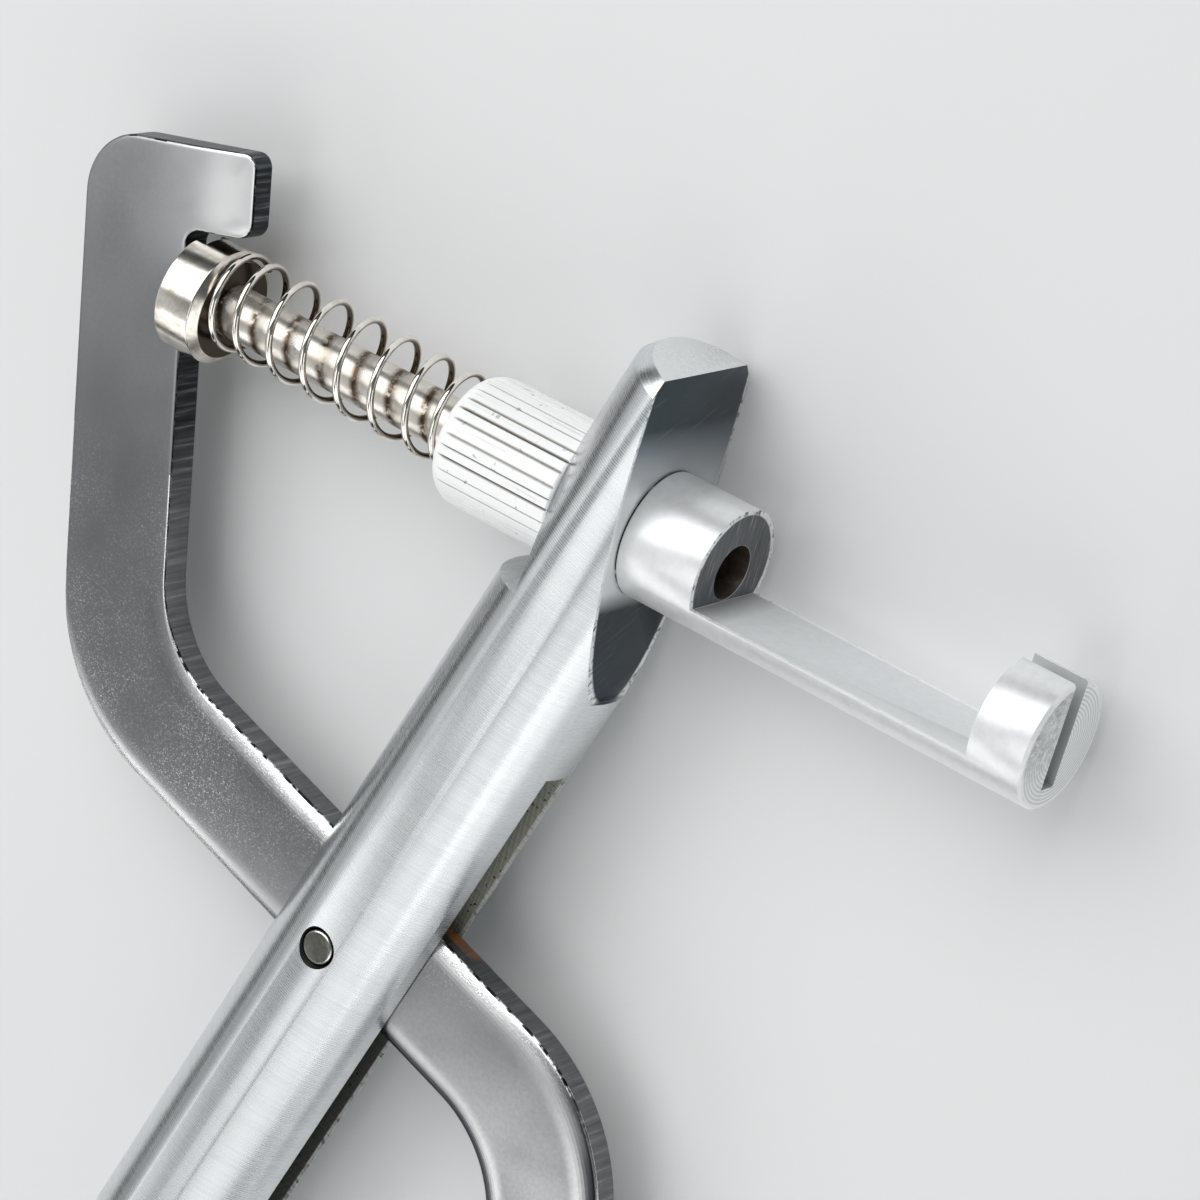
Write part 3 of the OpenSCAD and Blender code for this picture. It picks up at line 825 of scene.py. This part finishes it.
def makeSpring():
    # t counts the curls. Along the axis the wire gains endPitch a curl, and more where the pitch has
    # opened: its gain grows as t squared over the first ramp of curls, evenly, and eases off likewise
    s = spring
    t = np.linspace(0, s["curls"], s["curls"] * s["ringsPerCurl"] + 1)

    def opened(u):
        return np.where(u < s["ramp"], u * u / (2 * s["ramp"]), u - s["ramp"] / 2)

    length = springEnd - springStart - 2 * s["clear"]
    free = s["endPitch"] + (length - s["curls"] * s["endPitch"]) / (s["curls"] - s["ramp"])
    grown = np.where(t < s["curls"] / 2, opened(t), s["curls"] - s["ramp"] - opened(s["curls"] - t))
    along = s["endPitch"] * t + (free - s["endPitch"]) * grown
    radius = (s["outer"] - s["wire"]) / 2
    angle = 2 * np.pi * (t - s["turned"])
    lift = s["headLift"] + (s["sleeveLift"] - s["headLift"]) * t / s["curls"]
    x = springStart + s["clear"] + along
    middle = np.stack([x, axisY + lift + radius * np.cos(angle), radius * np.sin(angle)], -1)
    way = np.gradient(middle, axis=0)
    way /= np.linalg.norm(way, axis=1, keepdims=True)
    out = np.stack([np.zeros_like(t), np.cos(angle), np.sin(angle)], -1)
    side = np.cross(way, out)
    side /= np.linalg.norm(side, axis=1, keepdims=True)
    turn = (2 * np.pi * np.arange(s["sides"]) / s["sides"])[None, :, None]
    ring = np.cos(turn) * out[:, None] + np.sin(turn) * side[:, None]
    piece = pieceFromGrid("returnSpring", middle[:, None] + s["wire"] / 2 * ring, capEnds=True)

    def inside(centre, normal):
        # how squarely a face looks at the spring's axis
        fromAxis = centre[:, 1:] - np.array([axisY + (s["headLift"] + s["sleeveLift"]) / 2, 0])
        fromAxis /= np.linalg.norm(fromAxis, axis=1, keepdims=True)
        return np.clip(0.6 - 1.6 * (fromAxis * normal[:, 1:]).sum(1), 0, 1)

    faceMasks(piece, inside=inside)
    return piece


returnSpring = makeSpring()
standFor(returnSpring, "frame", nickelWire(), "return_spring")
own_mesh(returnSpring)
print("spring made")

# Knurled sleeve: an outline of (x, radius) carried round, with grooves cut into its outer rows

sleeve = {
    "radius": 5.3,
    "round": 1.6,
    "roundIn": 0.9,
    "chamfer": 0.12,
    "grooves": 32,
    "depth": 0.24,
    "halfWidth": 0.13,
    "bore": 2.18,
    "boreChamfer": 0.15,
    "socket": 3.5,
    "socketStart": -32.75,
    "outside": 4.2,  # the knurl lies beyond this radius
}


def knurledAluminium():
    # Aluminium nut, straight knurled and left bright: near white ridges with small dents, grooves painted dark
    # with painted shade.
    # The knurl scatters light as a white surface does, so it is drawn without a mirror's share
    material, add, place, groove = newMaterial("knurledBrightAluminium", "groove")
    draw = stretched(add, place, (0.16, 4.2, 4.2), 3)
    dents, pits = (add("TexNoise", (place, n / mm, d, 0.6)) for n, d in ((0.7, 3), (1.5, 1)))
    # painted shade: the deeper into a groove, the darker the colour
    colour = add("ValToRGB", (groove,), stops=[(0.1, "#ffffff"), (0.4, "#cbc9c4"), (0.9, "#66635d")])
    drawn = add("MapRange", (draw, 0.6, 0.74, 0.0, 0.35))
    pits = add("MapRange", (pits, 0.24, 0.3, 0.5, 0.0))
    for share, tint in (drawn, "#a3a4a1"), (pits, "#6f6e6a"):
        colour = add("Mix RGBA", (share, colour, tint))
    bump = add("Bump", {"Height": draw, "Strength": 0.4, "Distance": 0.03 * mm})
    shader = {
        "Base Color": colour,
        "Metallic": 0.0,
        "Roughness": add("MapRange", (dents, 0.3, 0.7, 0.36, 0.5)),
        "Normal": add("Bump", {"Height": dents, "Strength": 0.25, "Distance": 0.06 * mm, "Normal": bump}),
    }
    return finished(material, add, shader)


def makeSleeve():
    # the radius at each row and column is the lesser of the outline's and the knurl's, whose grooves
    # differ a little in place, depth and width
    s = sleeve
    start, end, radius, count = springEnd, leftFlat, s["radius"], s["grooves"]
    chance = np.random.default_rng(32)
    pitch = 2 * np.pi / count
    centre = (np.arange(count) + 0.5) * pitch + chance.normal(0, 0.07 * pitch, count)
    deep = s["depth"] * chance.uniform(0.5, 1.1, count)
    wide = s["halfWidth"] / radius * chance.uniform(0.55, 1.3, count)
    # columns bunch on each groove: out of it, its lips, its walls and its bottom, and three on the ridge
    step = np.array([-1.5, -1.1, -1.0, -0.8, -0.4, -0.1, 0.1, 0.4, 0.8, 1.0, 1.1, 1.5])
    angle = centre[:, None] + wide[:, None] * step
    gap = (np.roll(centre, -1) + np.where(np.arange(count) == count - 1, 2 * np.pi, 0))[:, None]
    nextLip = gap - 1.5 * np.roll(wide, -1)[:, None]
    ridge = angle[:, -1:] + (nextLip - angle[:, -1:]) * np.array([0.25, 0.5, 0.75])
    cut = deep[:, None] * np.clip(1.05 - np.abs(step), 0, 0.92)
    cut = np.concatenate([cut, np.zeros((count, 3))], axis=1).ravel()
    angle = np.concatenate([angle, ridge], axis=1).ravel()
    # the outline: a rounded shoulder, the knurled length and a small chamfer
    bend = np.linspace(0, math.pi / 2, 14)
    length = np.linspace(start + s["round"], end - s["chamfer"], 26)[1:]
    outerX = np.concatenate([start + s["round"] * (1 - np.cos(bend)), length, [end]])
    shoulder = radius - s["roundIn"] * (1 - np.sin(bend))
    envelope = np.concatenate([shoulder, np.full(len(length), radius), [radius - s["chamfer"]]])
    outerR = np.minimum(envelope[:, None], radius - cut[None])
    innerX = np.array([end, s["socketStart"], s["socketStart"], start + s["boreChamfer"], start])
    innerR = np.array([s["socket"], s["socket"], s["bore"], s["bore"], s["bore"] + s["boreChamfer"]])
    rowX = np.concatenate([outerX, innerX])[:, None]
    rowR = np.concatenate([outerR, np.repeat(innerR[:, None], len(angle), axis=1)])
    grid = np.stack([rowX + 0 * angle, axisY + rowR * np.cos(angle), rowR * np.sin(angle)], -1)
    piece = pieceFromGrid("knurledSleeve", grid, closeRows=True, smoothDegrees=28)
    # the mask is how far each point of the outside lies below the outline, which sets the grooves' painted shade
    place = np.empty(len(piece.data.vertices) * 3)
    piece.data.vertices.foreach_get("co", place)
    place = place.reshape(-1, 3) / mm
    reach = np.hypot(place[:, 1] - axisY, place[:, 2])
    sunk = np.clip((np.interp(place[:, 0], outerX, envelope) - reach) / s["depth"], 0, 1)
    value = sunk * (reach > s["outside"])
    piece.data.attributes.new("groove", "FLOAT", "POINT").data.foreach_set("value", value)
    return piece


standFor(makeSleeve(), "frame", knurledAluminium(), "knurled_sleeve")
print("sleeve made")

# Cradle

cradle = {
    "edgeRound": 0.13,
    "collarEnd": -12.25,  # the collar's end and the stop's two faces, in X
    "stop": 12.25,
    "stopEnd": 16.85,
    "bore": 2.25,  # the bore's wall lies within this radius, and its rim within the next
    "boreReach": 2.3,
    "slotHalf": 0.87,
    # a milled face's burred rim is painted bright between these radii, a painted glint
    "burrGlint": (4.56, 4.68),  # the radii between which a milled face's rim is bright
    "ringPitch": 0.3,
    "turned": ("#e7e9ea", "#f3f4f4"),
    "trough": ("#dfe2e4", "#e8eaeb"),
    "edge": "#f7f8f8",
    "burrGlintColour": "#fbfcfc",
}


def cradleAluminium():
    # Aluminium cradle, turned bright and then milled: soft bands on the round, a grey milled trough
    # painted darker under the collar as a painted reflection, a dark faced collar end, burrs painted
    # bright as glints, and turning rings on the stop's outer face. Its fine frosting scatters
    # light, so it mirrors less than a polished metal
    masks = ("collarEnd", "troughFloor", "stopEnd", "slotWall", "bore", "edge")
    material, add, place, *found = newMaterial("turnedMilledAluminiumCradle", *masks)
    collarEnd, troughFloor, stopEnd, slotWall, bore, edge = found
    centred = add("Mapping", {"Vector": place, "Location": (0, -axisY * mm, 0)}, vector_type="POINT")
    x, z = (add("SeparateXYZ", (place,), axis) for axis in "XZ")
    level = add("SeparateXYZ", (centred,), "Y")
    # soft bands round the cradle, and milled lines across the collar's end, square to the trough
    rings = stretched(add, place, (4.5, 0.07, 0.07), 3)
    lines = stretched(add, place, (0.15, 0.3, 4.2), 3)
    fine, chips, rough, crumbs, gapNoise, fade = (
        add("TexNoise", (place, n / mm, d, r))
        for n, d, r in (
            (1.3, 4, 0.65), (1.1, 2, 0.6), (0.42, 2, 0.6), (2.4, 3, 0.7), (0.5, 2, 0.6), (0.26, 1, 0.6),
        )
    )
    # rings on the stop: waves of the distance from the pusher axis
    ringScale = waveScale / (cradle["ringPitch"] * mm)
    faceRings = add("TexWave", (centred, ringScale, 0.3, 1.0), "Fac", wave_type="RINGS", rings_direction="X")
    # painted reflection of the collar's dark end: the trough is painted darker into its corner under the collar
    collarX = cradle["collarEnd"]
    corner = add("MapRange", (x, collarX * mm, (collarX + 2.6) * mm, 0.65, 0.0))
    # left of its slot the stop's face is rough and greyer, with bright specks, down to the outer rings
    roughHalf = stopEnd
    for share in (
        add("MapRange", (z, 0.2 * mm, 0.9 * mm)),
        add("MapRange", (level, -2.6 * mm, -1.0 * mm, 0.1, 1.0)),
        add("MapRange", (rough, 0.35, 0.6, 0.3, 0.9)),
    ):
        roughHalf = add("Math MULTIPLY", (roughHalf, share))
    # the milled faces end in burrs, painted bright as glints, and a thin dark gap shows where the collar meets
    # the bar
    milledFace = add("Math MAXIMUM", (collarEnd, stopEnd))
    milledFace = add("Math MAXIMUM", (troughFloor, milledFace))
    burrGlint = add("Math MULTIPLY", (brokenRim(add, centred, (0, 1, 1), *cradle["burrGlint"]), milledFace))
    gap = add("MapRange", (x, (rightFlat + 0.1) * mm, (rightFlat + 0.18) * mm, 1.0, 0.0))
    gap = add("Math MULTIPLY", (gap, add("MapRange", (gapNoise, 0.32, 0.42))))
    chipped = add("Math MULTIPLY", (edge, add("MapRange", (chips, 0.36, 0.46, 0.2, 1.0))))
    colour = add("ValToRGB", (fine,), stops=zip((0.3, 0.7), cradle["turned"]))
    for share, tint in (
        (collarEnd, add("ValToRGB", (lines,), stops=[(0.3, "#4d5154"), (0.6, "#66696c"), (0.75, "#a9adb0")])),
        (troughFloor, add("ValToRGB", (fine,), stops=zip((0.3, 0.7), cradle["trough"]))),
        (stopEnd, add("ValToRGB", (faceRings,), stops=[(0.0, "#cfd4d6"), (1.0, "#fdfefe")])),
        (slotWall, "#b8bbbb"),
        (bore, add("ValToRGB", (fine,), stops=[(0.3, "#474039"), (0.7, "#6b6159")])),
        (chipped, cradle["edge"]),
        # painted reflection of the collar's dark end in the trough's corner
        (add("Math MULTIPLY", (corner, troughFloor)), "#4f5356"),
        (roughHalf, add("ValToRGB", (crumbs,), stops=[(0.35, "#9a9d9e"), (0.55, "#c9cbcb"), (0.7, "#fbfbfb")])),
        (burrGlint, cradle["burrGlintColour"]),
        (gap, "#0c0d0e"),
    ):
        colour = add("Mix RGBA", (share, colour, tint))
    # all the milled faces but the collar's scatter more light than the round
    dull = add("Math MAXIMUM", (milledFace, edge))
    dull = add("Math MAXIMUM", (dull, slotWall))
    dull = add("Math MULTIPLY", (dull, add("MapRange", (collarEnd, 0.0, 1.0, 1.0, 0.0))))
    dull = add("Math MAXIMUM", (dull, burrGlint))
    # the stop's rings come and go
    faceRings = add("Math MULTIPLY", (faceRings, add("MapRange", (fade, 0.4, 0.6, 0.35, 1.0))))
    bump = add("Bump", {"Height": rings, "Strength": 0.25, "Distance": 0.02 * mm})
    for relief, share, strength, depth in (
        (faceRings, stopEnd, 0.35, 0.03),
        (crumbs, roughHalf, 0.6, 0.05),
        (lines, collarEnd, 0.4, 0.04),
    ):
        relief = add("Math MULTIPLY", (relief, share))
        bump = add("Bump", {"Height": relief, "Strength": strength, "Distance": depth * mm, "Normal": bump})
    shader = {
        "Base Color": colour,
        "Metallic": add("MapRange", (dull, 0.0, 1.0, 0.42, 0.15)),
        "Roughness": 0.34,
        "Anisotropic": 0.4,
        "Normal": bump,
        "Tangent": add("CombineXYZ", (1.0, 0.0, 0.0)),
    }
    return finished(material, add, shader)


def isBore(centre, normal):
    # the wall of the pin's bore, up to the collar's end
    reach = np.hypot(centre[:, 1] - axisY, centre[:, 2])
    return (reach < cradle["bore"]) & (np.abs(normal[:, 0]) < 0.3) & (centre[:, 0] < cradle["collarEnd"])


def isSlotWall(centre, normal):
    # the walls and the floor of the stop's slot
    inSlot = np.abs(centre[:, 2]) < cradle["slotHalf"]
    return (centre[:, 0] > cradle["stop"]) & inSlot & (np.abs(normal[:, 0]) < 0.9)


def isCradleEdge(centre, normal):
    # the rounds along the milled edges: neither square to an axis nor turned
    reach = np.hypot(centre[:, 1] - axisY, centre[:, 2])
    radial = ((centre[:, 1] - axisY) * normal[:, 1] + centre[:, 2] * normal[:, 2]) / np.maximum(reach, 0.01)
    neither = (np.abs(radial) < 0.995) & (np.abs(normal).max(axis=1) < 0.99)
    return neither & (reach > cradle["boreReach"]) & (centre[:, 0] > rightFlat)


linkCradle = edgedCopy("cradle", "cradle", cradle["edgeRound"])
faceMasks(
    linkCradle,
    collarEnd=lambda c, n: (n[:, 0] > 0.95) & (np.abs(c[:, 0] - cradle["collarEnd"]) < 0.02),
    troughFloor=lambda c, n: (n[:, 1] > 0.95) & (np.abs(c[:, 1]) < 0.02),
    bore=isBore,
    stopEnd=lambda c, n: (n[:, 0] > 0.95) & (c[:, 0] > cradle["stopEnd"] - 0.02),
    slotWall=isSlotWall,
    edge=isCradleEdge,
)
standFor(linkCradle, "frame", cradleAluminium(), "cradle")
print("cradle made")

# Floor, light and camera

studio = {
    "floor": "#e5e6e6",
    "floorHalf": 1.5,  # in metres, as all below
    "target": (-0.02, 0.0, 0.0),
    "distance": 0.8,
    # a studio's dark horizon, a grey room above it
    "sky": [(0.0, "#252527"), (0.16, "#303133"), (0.36, "#616365"), (1.0, "#66686a")],
}
# name, direction from the object, width, height, brightness of its face
lamps = [
    ("frontSoftbox", (0.36, -0.70, 0.56), 0.6, 0.5, 1.12),
    ("sideSoftbox", (0.87, -0.46, 0.12), 0.8, 0.55, 1.4),
    ("backSoftbox", (-0.32, 0.58, 0.70), 1.2, 0.7, 2.35),
    ("lowSoftbox", (-0.42, -0.76, 0.42), 0.6, 0.4, 1.4),
    ("overheadSoftbox", (-0.06, -0.26, 0.96), 0.5, 0.5, 1.36),
    ("leftSoftbox", (-0.82, -0.25, 0.54), 0.7, 0.55, 0.5),
]
camera = {
    "place": (0.1439224, 0.1211780, 0.287962),
    "right": (0.77853233, 0.26945080, -0.56681891),
    "up": (-0.41882597, 0.89567878, -0.14948018),
    "back": (0.46741012, 0.35377363, 0.81016788),
    "lens": 143.63,
}

floorMesh = bpy.data.meshes.new("floor")
half = studio["floorHalf"]
floorCorners = [(x, y, cadLow.z) for x, y in ((-half, -half), (half, -half), (half, half), (-half, half))]
floorMesh.from_pydata(floorCorners, [], [(0, 1, 2, 3)])
floorShader = {"Base Color": studio["floor"], "Roughness": 0.9}
floorMesh.materials.append(finished(*newMaterial("paleFloor")[:2], floorShader))
addObject("floor", floorMesh)

for name, direction, width, height, brightness in lamps:
    lamp = bpy.data.lights.new(name, "AREA")
    lamp.shape, lamp.size, lamp.size_y = "RECTANGLE", width, height
    lamp.energy = brightness * math.pi * width * height
    holder = addObject(name, lamp)
    away = Vector(direction).normalized()
    holder.location = Vector(studio["target"]) + away * studio["distance"]
    holder.rotation_mode = "QUATERNION"
    holder.rotation_quaternion = away.to_track_quat("Z", "Y")

scene.world = bpy.data.worlds.new("studio")
scene.world.use_nodes = True
scene.world.node_tree.nodes.clear()
addToWorld = partial(addNode, scene.world.node_tree)
worldHeight = addToWorld("SeparateXYZ", (addToWorld("TexCoord", out="Generated"),), "Z")
sky = addToWorld("ValToRGB", (worldHeight,), stops=studio["sky"])
addToWorld("OutputWorld", (addToWorld("Background", (sky, 1.0)),))

cameraData = bpy.data.cameras.new("camera")
cameraData.sensor_width = 36
cameraData.lens = camera["lens"]
cameraData.clip_start = 0.01
cameraData.clip_end = 20
scene.camera = addObject("camera", cameraData)
turn = zip(camera["right"], camera["up"], camera["back"], camera["place"])
scene.camera.matrix_world = Matrix([*turn, (0, 0, 0, 1)])
scene.view_settings.view_transform = "Standard"
print("stage set")
